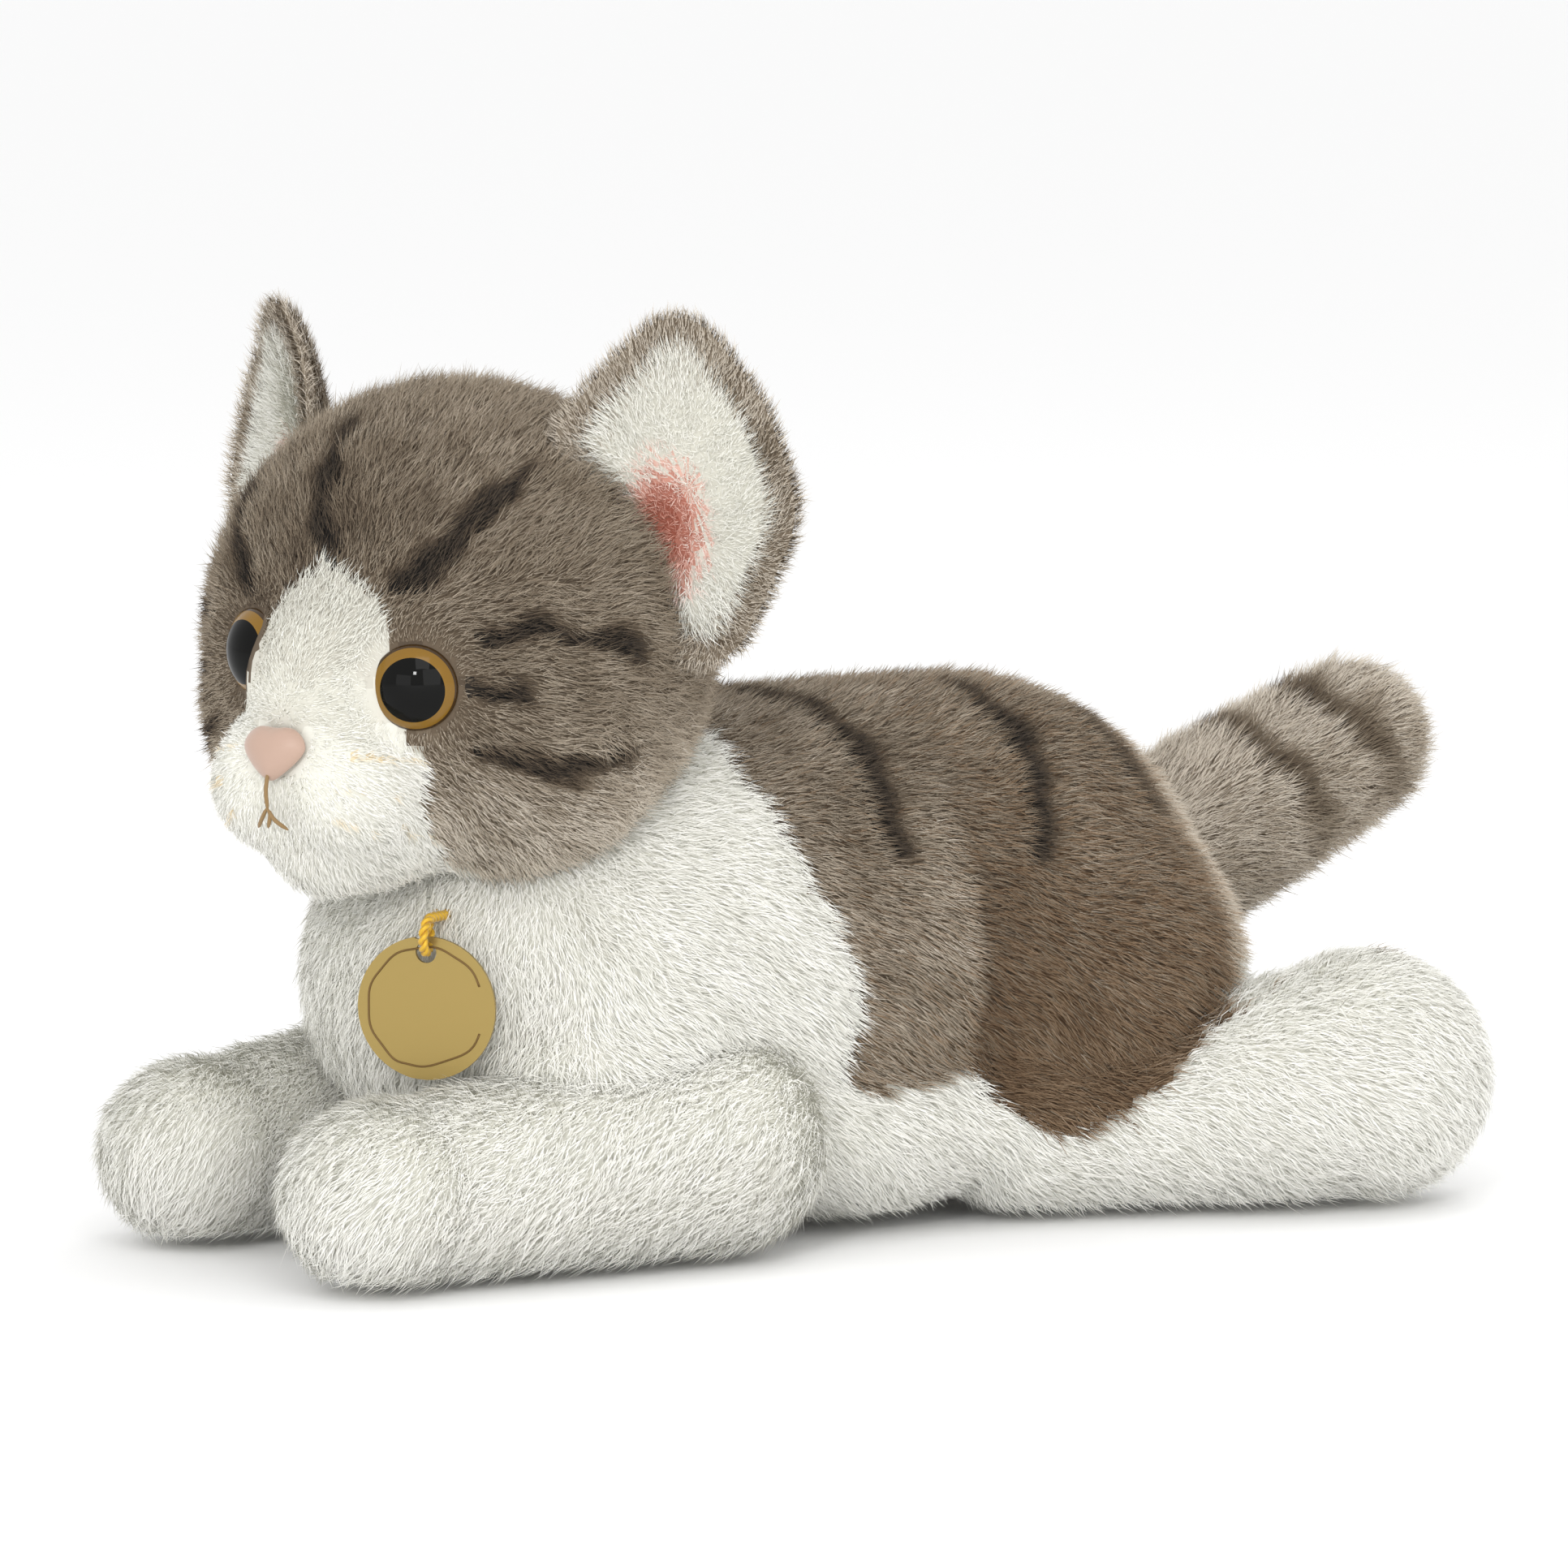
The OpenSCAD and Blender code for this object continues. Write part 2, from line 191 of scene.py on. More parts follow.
foil = paint("gold_foil", (158, 136, 80), 0.34, Metallic=0.7, Specular_IOR_Level=0.5)
pressed = paint("pressed_line", (112, 86, 44), 0.5, Metallic=0.4)
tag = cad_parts["swing_tag"]
tag.data.materials.clear()
tag.data.materials.append(foil)
tag.data.polygons.foreach_set("material_index", [0] * len(tag.data.polygons))
edge_line = []
for i in range(73):
    a = math.radians(67 - i * 314 / 72)
    r = 8.5 + 0.12 * math.sin(9 * a)
    x, y = r * math.sin(a), -10.2 + r * math.cos(a)
    pull = max(0, -math.cos(a)) ** 6
    edge_line.append(in_tag(x * (1 - 0.15 * pull) - 1.6 * pull, y + 0.4 * pull, 0.3))
tag_line = new_object("tag_line", *tube(edge_line, 0.16, 6), [pressed])
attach(tag_line, "tag")

# ---- Pile ----
# Plush pile is cut fibre that stands out of a knitted backing. Each fibre is a thin tapered ribbon,
# rooted in the backing, leaning the way the pile was brushed, and paler at its tip.

TONES = {
    "grey": [(20, 19, 18), (32, 29, 26), (46, 41, 36), (60, 52, 44), (73, 63, 52), (86, 74, 61), (99, 86, 71),
             (113, 100, 84), (129, 116, 99), (148, 136, 119), (172, 160, 143), (200, 190, 175)],
    "brown": [(52, 36, 24), (64, 47, 33), (76, 57, 41), (88, 68, 50), (101, 80, 60), (115, 93, 71),
              (131, 109, 86), (150, 129, 106), (172, 153, 132)],
    "white": [(200, 197, 186), (213, 211, 200), (226, 225, 215), (238, 237, 229), (249, 248, 242)],
    "pink": [(150, 86, 70), (170, 110, 94), (196, 144, 128), (218, 178, 164), (234, 208, 198)],
    "cream": [(214, 190, 146), (226, 208, 172), (236, 224, 200)],
}
shades = {kind: [paint(f"pile_{kind}_{i}", rgb, 0.85, Specular_IOR_Level=0.25) for i, rgb in enumerate(ramp)]
          for kind, ramp in TONES.items()}
kinds = list(TONES)
all_shades = [m for kind in kinds for m in shades[kind]]
first = {kind: sum(len(TONES[k]) for k in kinds[:i]) for i, kind in enumerate(kinds)}


def kind_of(name):
    return kinds.index(name)


def unit(v):
    return v / np.maximum(np.linalg.norm(v, axis=1, keepdims=True), 1e-9)


def waves(p, size, seed, n=5):
    """Smooth wandering vectors, about -1 to 1, that change over the given size."""
    rng = np.random.default_rng(seed)
    out = np.zeros_like(p)
    for _ in range(n):
        k = unit(rng.normal(size=(3, 3))) * rng.uniform(0.7, 1.5, (3, 1)) * 2 * math.pi / size
        out += np.sin(p @ k.T + rng.uniform(0, 2 * math.pi, 3))
    return out / math.sqrt(n)


def near_line(p, line, width):
    """1 on a line of points and 0 beyond its width, in whatever units they share."""
    best = np.full(len(p), 1e9)
    line = np.array(line, float)
    for a, b in zip(line, line[1:]):
        t = np.clip(((p - a) @ (b - a)) / ((b - a) @ (b - a)), 0, 1)
        best = np.minimum(best, np.linalg.norm(p - a - t[:, None] * (b - a), axis=1))
    return np.clip(1.4 - 1.4 * best / width, 0, 1)


def scatter(skin, per_mm2, rng):
    """Even random points on a skin with their normals, in millimetres."""
    me = skin.data
    me.calc_loop_triangles()
    co = np.empty(len(me.vertices) * 3)
    me.vertices.foreach_get("co", co)
    no = np.empty(len(me.vertices) * 3)
    me.vertices.foreach_get("normal", no)
    tri = np.empty(len(me.loop_triangles) * 3, int)
    me.loop_triangles.foreach_get("vertices", tri)
    co, no, tri = co.reshape(-1, 3) / MM, no.reshape(-1, 3), tri.reshape(-1, 3)
    a, b, c = (co[tri[:, i]] for i in range(3))
    run = np.cumsum(0.5 * np.linalg.norm(np.cross(b - a, c - a), axis=1))
    n = int(run[-1] * per_mm2)
    pick = np.minimum(np.searchsorted(run, (np.arange(n) + rng.random(n)) / n * run[-1]), len(tri) - 1)
    u, v = rng.random(n), rng.random(n)
    flip = u + v > 1
    u[flip], v[flip] = 1 - u[flip], 1 - v[flip]
    w = np.stack([1 - u - v, u, v], 1)
    p = sum(w[:, i, None] * co[tri[pick, i]] for i in range(3))
    return p, unit(sum(w[:, i, None] * no[tri[pick, i]] for i in range(3)))


def pile(name, body, skin, place, rule, per_mm2, width, seed):
    """Grows pile on a skin. rule(p, n) gives, for each root, its kind, tone, length, lean and way."""
    root_depth = 0.35          # below the cloth's face, in millimetres
    flattest = 1.55            # the furthest that a tip leans, in radians
    most = 60000               # fibres in one piece
    rng = np.random.default_rng(seed)
    p, n = scatter(skin, per_mm2, rng)
    kind, tone, length, lean, way = rule(p, n)
    keep = length > 0
    p, n, kind, tone, length, lean, way = (x[keep] for x in (p, n, kind, tone, length, lean, way))
    count = len(p)
    # the way it was brushed wanders over the cloth, and each fibre strays a little from its neighbours
    way = (way + 0.17 * waves(p, 15, seed + 1) + 0.12 * waves(p, 4.2, seed + 2)
           + 0.24 * rng.normal(size=(count, 3)))
    way = unit(way - n * np.sum(way * n, 1, keepdims=True))
    lean = np.clip(lean + 3 * waves(p, 5, seed + 3)[:, 0] + rng.normal(0, 9, count), 2, 84) * math.pi / 180
    length = length * np.clip(rng.normal(1, 0.18, count) + 0.05 * waves(p, 6, seed + 4)[:, 0], 0.5, 1.5)
    # a fibre leaves the cloth more upright than it ends
    low, high = (lean * 0.55)[:, None], np.minimum(lean * 1.3, flattest)[:, None]
    d0, d1 = n * np.cos(low) + way * np.sin(low), n * np.cos(high) + way * np.sin(high)
    roll = rng.normal(0, 0.55, count)[:, None]
    across = np.cross(way, n)
    across = across * np.cos(roll) + np.cross(d0, across) * np.sin(roll)
    root = p - root_depth * n
    mid = root + d0 * (0.5 * length[:, None])
    tip = mid + d1 * (0.55 * length[:, None])
    half = (0.5 * width * rng.uniform(0.75, 1.25, count))[:, None]
    v = np.stack([root - across * half, root + across * half, mid + across * half * 0.85,
                  mid - across * half * 0.85, tip], 1)
    # it is shaded partly as the cloth under it, and white pile more so, since light passes through it
    flat = unit(np.cross(across, d1))
    calm = (kind == kind_of("white"))[:, None]
    shade_n = unit((0.5 + 0.35 * calm) * n + (0.6 - 0.3 * calm) * flat)
    if np.linalg.det(np.array(place, float)[:3, :3]) < 0:
        v = v[:, [1, 0, 3, 2, 4]]
    sizes = np.array([len(TONES[k]) for k in kinds])[kind]
    base = np.array([first[k] for k in kinds])[kind]
    # its lower half is a little darker than its tip
    step = tone * sizes + rng.normal(0, 0.5, count)
    dark = base + np.clip(np.floor(step - 0.04 * sizes), 0, sizes - 1).astype(int)
    pale = base + np.clip(np.floor(step + 0.16 * sizes), 0, sizes - 1).astype(int)
    m = np.array(place, float)
    v = (v @ m[:3, :3].T) * MM + m[:3, 3]
    shade_n = shade_n @ m[:3, :3].T
    v[:, :, 2] = np.maximum(v[:, :, 2], 0.0001)
    parts = max(1, math.ceil(count / most))
    order = np.arange(count) * parts // count
    for i in range(parts):
        mine = order == i
        k = int(mine.sum())
        me = bpy.data.meshes.new(name)
        me.vertices.add(5 * k)
        me.vertices.foreach_set("co", v[mine].ravel())
        corner = np.arange(k)[:, None] * 5
        me.loops.add(7 * k)
        me.loops.foreach_set("vertex_index", (corner + np.array([0, 1, 2, 3, 3, 2, 4])).ravel())
        me.polygons.add(2 * k)
        start = (np.arange(k)[:, None] * 7 + np.array([0, 4])).ravel()
        me.polygons.foreach_set("loop_start", start)
        used, index = np.unique(np.stack([dark[mine], pale[mine]], 1).ravel(), return_inverse=True)
        for u in used:
            me.materials.append(all_shades[u])
        me.polygons.foreach_set("material_index", index.ravel().astype(np.int32))
        me.polygons.foreach_set("use_smooth", np.ones(2 * k, bool))
        me.update(calc_edges=True)
        me.validate()
        me.normals_split_custom_set_from_vertices(np.repeat(shade_n[mine], 5, axis=0).tolist())
        o = bpy.data.objects.new(name if parts == 1 else f"{name}_{i + 1}", me)
        bpy.context.scene.collection.objects.link(o)
        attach(o, body)


# ---- Head cloth ----
# Stuffed plush skin: a round skull with full cheeks, a short muzzle with two pads and a small chin.
# Drawn looking along -Y about its own centre, then turned and lifted to where it is sewn on.

head_place = Matrix.Translation((0.002, -0.058, 0.087)) @ Matrix.Rotation(math.radians(19), 4, "Z")


def blob(at, radii, turn=(0, 0, 0)):
    """One round volume of stuffing, in millimetres."""
    bpy.ops.mesh.primitive_uv_sphere_add(segments=48, ring_count=24, radius=1, location=Vector(at) * MM,
                                         rotation=[math.radians(a) for a in turn])
    o = bpy.context.object
    radii = (radii,) * 3 if not hasattr(radii, "__len__") else radii
    o.scale = Vector(radii) * MM
    bpy.ops.object.transform_apply(location=True, rotation=True, scale=True)
    return o


def run_of_blobs(stops, between=6):
    """Round volumes strung along a limb through its stops, each a point and a radius."""
    made = []
    for (a, ra), (b, rb) in zip(stops, stops[1:]):
        for k in range(between):
            t = k / between
            made.append(blob(Vector(a).lerp(Vector(b), t), ra + (rb - ra) * t))
    return [*made, blob(*stops[-1])]


def modify(o, kind, **values):
    """Applies one modifier."""
    bpy.ops.object.select_all(action="DESELECT")
    o.select_set(True)
    bpy.context.view_layer.objects.active = o
    m = o.modifiers.new(kind.lower(), kind)
    for key, value in values.items():
        setattr(m, key, value)
    bpy.ops.object.modifier_apply(modifier=m.name)


def cloth_over(name, blobs, voxel=1.6, soften=8):
    """One closed skin over several volumes of stuffing."""
    bpy.ops.object.select_all(action="DESELECT")
    for o in blobs:
        o.select_set(True)
    bpy.context.view_layer.objects.active = blobs[0]
    bpy.ops.object.join()
    o = bpy.context.object
    o.name = o.data.name = name
    modify(o, "REMESH", mode="VOXEL", voxel_size=voxel * MM)
    modify(o, "SMOOTH", factor=0.5, iterations=soften)
    o.data.polygons.foreach_set("use_smooth", np.ones(len(o.data.polygons), bool))
    return o


def colour_faces(o, place, rule):
    """The backing under the pile shows its darkest tone; place takes the skin to the frame."""
    me = o.data
    centre = np.empty(len(me.polygons) * 3)
    me.polygons.foreach_get("center", centre)
    normal = np.empty(len(me.polygons) * 3)
    me.polygons.foreach_get("normal", normal)
    kind, tone, *_ = rule(centre.reshape(-1, 3) / MM, normal.reshape(-1, 3))
    sizes = np.array([len(TONES[k]) for k in kinds])[kind]
    index = np.array([first[k] for k in kinds])[kind] + np.clip(tone * sizes - 1.0, 0, sizes - 1).astype(int)
    used, index = np.unique(index, return_inverse=True)
    me.materials.clear()
    for u in used:
        me.materials.append(all_shades[u])
    me.polygons.foreach_set("material_index", index.ravel().astype(np.int32))
    me.transform(place)
    me.update()


head = cloth_over("head_cloth", [
    blob((0, 0, 0), 34.5), blob((-1, -22, -16), 17), blob((0, -26.5, -4), 13.3),
    blob((11, -5, -9), 23), blob((-11, -5, -9), 23),
    blob((5, -31, -18), 9.5), blob((-7, -31, -18), 9.5), blob((-1, -28, -25), 8.5),
])
nose_at = np.array([-1, -44, -11.0])
# the eyes and the blaze are sewn a little further round than the muzzle, and tilt down to the cat's left
face = Matrix.Rotation(math.radians(5), 4, "Z") @ Matrix.Rotation(math.radians(8), 4, "Y")
eye_turns = {"left": 23, "right": -23}
eye_tip = Matrix.Rotation(math.radians(93.5), 4, "X")
eye_frames = {side: face @ Matrix.Rotation(math.radians(a), 4, "Z") @ eye_tip
              for side, a in eye_turns.items()}
eye_ways = [np.array(f.to_3x3() @ Vector((0, 0, 1))) for f in eye_frames.values()]
# the crown's middle stripe, then each stripe that both sides have, in degrees sideways and up
head_stripes = [[(-14, 56), (-6, 42), (3, 24)]]
for stripe in ([(56, 42), (37, 27), (23, 16)], [(42, 6), (59, 7), (80, 1)],
               [(41, -19), (59, -24), (77, -22)], [(41, -5), (50, -8)]):
    head_stripes += [stripe, [(-a, e) for a, e in stripe]]


def head_rule(p, n):
    """The head's markings and the lie of its pile, at points in its own frame."""
    count = len(p)
    r = np.linalg.norm(p, axis=1)
    wander = waves(p, 9, 31)
    fine = waves(p, 2.4, 32)
    # the white blaze, muzzle and chin
    q = p @ np.array(face.to_3x3())
    half = np.interp(-q[:, 2], [-11, -9, -4, 4, 8, 13, 20, 32, 60],
                     [3.5, 6.5, 9.4, 10.4, 12.2, 14.5, 15.3, 12.5, 12])
    x = np.abs(q[:, 0]) + 0.5 * wander[:, 0] + 0.4 * fine[:, 0]
    z = q[:, 2] + 0.5 * wander[:, 1] + 0.4 * fine[:, 1]
    white = (x < half) & (p[:, 1] < 0) & (z < 11)
    throat = (p[:, 2] < -27) & (p[:, 1] < 8)
    white |= throat & (np.abs(p[:, 0] + 2) < 12 + 2 * wander[:, 0])
    az = np.degrees(np.arctan2(p[:, 0], -p[:, 1]))
    el = np.degrees(np.arcsin(np.clip(p[:, 2] / r, -1, 1)))
    flat = np.stack([az * np.cos(np.radians(el)) + 1.6 * wander[:, 1], el + 1.6 * wander[:, 2]], 1)
    dark = np.zeros(count)
    for line in head_stripes:
        broad = 4.4 if line[0][1] > 30 else 3.4
        line = [(a * math.cos(math.radians(e)), e) for a, e in line]
        dark = np.maximum(dark, near_line(flat, line, broad) ** 0.8)
    tone = 0.60 + 0.03 * wander[:, 0] + 0.22 * np.clip((-p[:, 2] - 6) / 20, 0, 1)
    tone -= 0.13 * np.clip(1 - np.abs(p[:, 0] - 3) / 16, 0, 1) * np.clip(1 - np.abs(p[:, 2] - 17) / 12, 0, 1)
    tone = tone * (1 - 0.72 * dark)
    kind = np.where(white, kind_of("white"), kind_of("grey"))
    # painted shade: the white is painted darker from the chin up over the muzzle and the blaze
    tone = np.where(white, 0.68 - 0.34 * np.clip((p[:, 2] + 14) / 14, 0, 1) + 0.04 * wander[:, 1], tone)
    # faint warm lines where whiskers would grow
    for s in (1, -1):
        for line in ([(14, -13), (24, -14)], [(14, -17), (26, -19)], [(13, -21), (24, -25)]):
            side = np.stack([p[:, 0], p[:, 2]], 1)
            near = near_line(side, [(s * a * 0.62, b) for a, b in line], 0.6) * (p[:, 1] < -20)
            hit = (near > 0.4) & white & (fine[:, 2] > 0.2)
            kind = np.where(hit, kind_of("cream"), kind)
            tone = np.where(hit, 0.95, tone)
    # how the pile lies: away from the nose, and down on the cheeks
    out = unit(p - nose_at)
    way = out + np.array([0, 0, -0.25]) * (p[:, 2] < 10)[:, None]
    from_nose = np.linalg.norm(p - nose_at, axis=1)
    length = np.interp(from_nose, [4, 9, 20, 34, 60], [1.2, 1.6, 2.3, 3.3, 4.0])
    lean = np.interp(from_nose, [4, 12, 30, 60], [60, 56, 52, 50])
    for e in eye_ways:
        off = np.linalg.norm(np.cross(unit(p), e), axis=1) * r
        facing = unit(p) @ e > 0.5
        away = unit(p - e * np.sum(p * e, 1, keepdims=True))
        close = np.clip((10.5 - off) / 4, 0, 1) * facing
        length = length * (1 - 0.45 * close)
        way = way * (1 - close[:, None]) + away * close[:, None]
        length = np.where(facing & (off < 6.1), 0, length)
    under_nose = (np.abs(p[:, 0] + 1) < 4.4) & (p[:, 1] < -34) & (np.abs(p[:, 2] + 12.2) < 3.4)
    length = np.where(under_nose, 0, length)
    lean = np.where(white, 64, lean)
    return kind, tone, length, lean, way


for colour, slot in (("grey", "grey_pile"), ("white", "white_pile")):
    def only(p, n, colour=colour):
        kind, tone, length, lean, way = head_rule(p, n)
        mine = (kind == kind_of("grey")) == (colour == "grey")
        return kind, tone, np.where(mine, length, 0), lean, way
    pile(f"head_{colour}_pile", "head", head, head_place, only, 9.0, 0.12, seed=11)
colour_faces(head, head_place, head_rule)
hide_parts("crown_skin", "muzzle_skin")
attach(head, "head")

# ---- Eyes ----
# Glossy safety eyes: a clear dome over an amber ring and a black pupil, with a stem and a washer inside
# the head that hold it.

iris = paint("eye_amber", (126, 92, 24), 0.2, Coat_Weight=0.3, Coat_Roughness=0.02, Specular_IOR_Level=0.2)
rim = paint("eye_rim", (58, 40, 16), 0.2, Coat_Weight=0.4, Coat_Roughness=0.02, Specular_IOR_Level=0.2)
pupil = paint("eye_pupil", (4, 4, 3), 0.05, Coat_Weight=0.3, Coat_Roughness=0.01, Specular_IOR_Level=0.02)


def lathe(name, profile, segments, materials, bands):
    """A closed round form about Z. bands[i] is the material of the ring between points i and i + 1."""
    verts, faces, index = [], [], []
    for r, z in profile:
        for k in range(segments):
            a = 2 * math.pi * k / segments
            verts.append((r * math.cos(a) * MM, r * math.sin(a) * MM, z * MM))
    for i in range(len(profile) - 1):
        for k in range(segments):
            j = (k + 1) % segments
            faces.append((i * segments + k, i * segments + j, (i + 1) * segments + j, (i + 1) * segments + k))
            index.append(bands[i])
    o = new_object(name, verts, faces, materials)
    o.data.polygons.foreach_set("material_index", index)
    bpy.ops.object.select_all(action="DESELECT")
    o.select_set(True)
    bpy.context.view_layer.objects.active = o
    bpy.ops.object.mode_set(mode="EDIT")
    bpy.ops.mesh.select_all(action="SELECT")
    bpy.ops.mesh.remove_doubles(threshold=1e-6)
    bpy.ops.mesh.normals_make_consistent(inside=False)
    bpy.ops.object.mode_set(mode="OBJECT")
    return o


eye_back, dome_r, eye_r, pupil_r = 34.2, 7.5, 6.0, 4.5
for side in eye_turns:
    flat_z = eye_back - math.sqrt(dome_r ** 2 - eye_r ** 2)
    radii = [0, 0.7, 1.4, 2.1, 2.8, 3.5, 4.0, pupil_r, 4.8, 5.1, 5.4, 5.65, 5.85, eye_r]
    profile = [(0, eye_back - 0.85), (eye_r - 0.2, eye_back - 0.85), (eye_r, eye_back - 0.6)]
    profile += [(r, flat_z + math.sqrt(dome_r ** 2 - r * r)) for r in radii[::-1]]
    bands = [1, 1, 1] + [1, 1] + [0] * 4 + [2] * (len(radii) - 7)
    eye = lathe(f"{side}_eye", profile, 72, [iris, rim, pupil], bands[:len(profile) - 1])
    eye.data.transform(head_place @ eye_frames[side])
    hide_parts(f"{side}_eye_dome", f"{side}_eye_stem")
    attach(eye, "head")

# ---- Nose and mouth ----
# The nose is a small padded patch of pale pink satin. The mouth is a few long stitches of brown thread.

satin = paint("nose_satin", (180, 152, 136), 0.42, Sheen_Weight=0.3, Sheen_Roughness=0.4,
              Specular_IOR_Level=0.4)
thread = paint("mouth_thread", (136, 108, 66), 0.6, Sheen_Weight=0.2)


def pad(name, outline, front, back, rings=14, materials=()):
    """A closed form over an outline round the origin. front(t, p) and back(t, p) are its heights, where
    t is the share of the way out; they meet at the edge."""
    n = len(outline)
    verts, faces = [(0, 0, front(0, (0, 0))), (0, 0, back(0, (0, 0)))], []
    for k in range(1, rings + 1):
        t = math.sin(0.5 * math.pi * k / rings)
        for x, y in outline:
            verts.append((x * t, y * t, front(t, (x * t, y * t))))
    front_n = len(verts)
    for k in range(1, rings):
        t = math.sin(0.5 * math.pi * k / rings)
        for x, y in outline:
            verts.append((x * t, y * t, back(t, (x * t, y * t))))
    at = lambda k, j: 2 + (k - 1) * n + j % n
    under = lambda k, j: front_n + (k - 1) * n + j % n if k < rings else at(rings, j)
    for j in range(n):
        faces += [(0, at(1, j), at(1, j + 1)), (1, under(1, j + 1), under(1, j))]
        for k in range(1, rings):
            faces += [(at(k, j), at(k + 1, j), at(k + 1, j + 1), at(k, j + 1)),
                      (under(k, j + 1), under(k + 1, j + 1), under(k + 1, j), under(k, j))]
    return new_object(name, [Vector(v) * MM for v in verts], faces, materials)


nose_outline = []
for k in range(48):
    a = 2 * math.pi * k / 48
    c, s = math.cos(a), math.sin(a)
    # a soft heart: broad and a little dipped at the top, drawn in to a blunt point below
    wide = 5.2 * (1 - 0.5 * max(0, -s) ** 1.3)
    nose_outline.append((wide * c, (3.4 - 0.7 * s ** 10) * s if s > 0 else 4.6 * s))
# both faces fall away from the middle, as the muzzle under them does
nose = pad("nose_patch", nose_outline,
           lambda t, p: 2.0 * (1 - t ** 2.6) ** 0.55 - (p[0] ** 2 + p[1] ** 2) / 42,
           lambda t, p: -1.2 * (1 - t ** 2) - (p[0] ** 2 + p[1] ** 2) / 42, materials=[satin])
nose_tip = Matrix.Rotation(math.radians(78), 4, "X")
nose.data.transform(head_place @ Matrix.Translation((-0.0012, -0.0401, -0.0122)) @ nose_tip)
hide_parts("nose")
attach(nose, "head")

thread_r = 0.3
stitches, mouth_faces = [], []
for line in ([(0, -41.2, -14.2), (0.1, -41.9, -17), (0, -41.4, -19.8)],
             [(0, -41.6, -19.4), (1.1, -41.3, -21), (2.6, -40.2, -22.4)],
             [(0, -41.6, -19.4), (-1.1, -41.3, -21), (-2.6, -40.2, -22.4)],
             [(0.5, -41.4, -19.8), (0.4, -41.5, -21), (-0.1, -41.2, -22.2)]):
    path = smooth_path([Vector(p) for p in line], 0.3)
    last = len(path) - 1
    v, f = tube(path, [thread_r * min(1, 0.35 + 3 * min(i, last - i) / len(path)) for i in range(len(path))])
    mouth_faces += [tuple(k + len(stitches) for k in face) for face in f]
    stitches += v
mouth = new_object("mouth_thread", stitches, mouth_faces, [thread])
mouth.data.transform(head_place @ Matrix.Translation((-0.0011, 0, -0.001)))
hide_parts("mouth_stitching")
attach(mouth, "head")

# ---- Ears ----
# Each ear is two layers: a grey plush back and a white short pile lining, airbrushed coral at its
# middle. They are sewn round the edge and cupped forwards, and the base follows the head.

ear_centre = (34.0, 22.0)
ear_open, ear_plane = math.radians(29), 13.5
ear_circles = [((20, 29), 4), ((32.5, 39), 6.5), ((34.5, 28), 11.5), ((37, 19), 12), ((36, 5), 7)]


def ear_edge(inset):
    """The ear's outline about its own centre."""
    out = []
    for k in range(90):
        a = 2 * math.pi * k / 90
        way = (math.cos(a), math.sin(a))
        reach = []
        for b in range(0, 360, 4):
            t = (math.cos(math.radians(b)), math.sin(math.radians(b)))
            limit = max((c[0] - ear_centre[0]) * t[0] + (c[1] - ear_centre[1]) * t[1] + r - inset
                        for c, r in ear_circles)
            dot = way[0] * t[0] + way[1] * t[1]
            if dot > 0.02:
                reach.append(limit / dot)
        r = min(reach)
        out.append((r * way[0], r * way[1]))
    return out


def cup(p):
    """Height of the ear's face at a point: it is hollow in the middle, and its edge curls forwards."""
    x, y = p
    return 3.4 * ((x / 15) ** 2 + (y / 24) ** 2) - 2.6


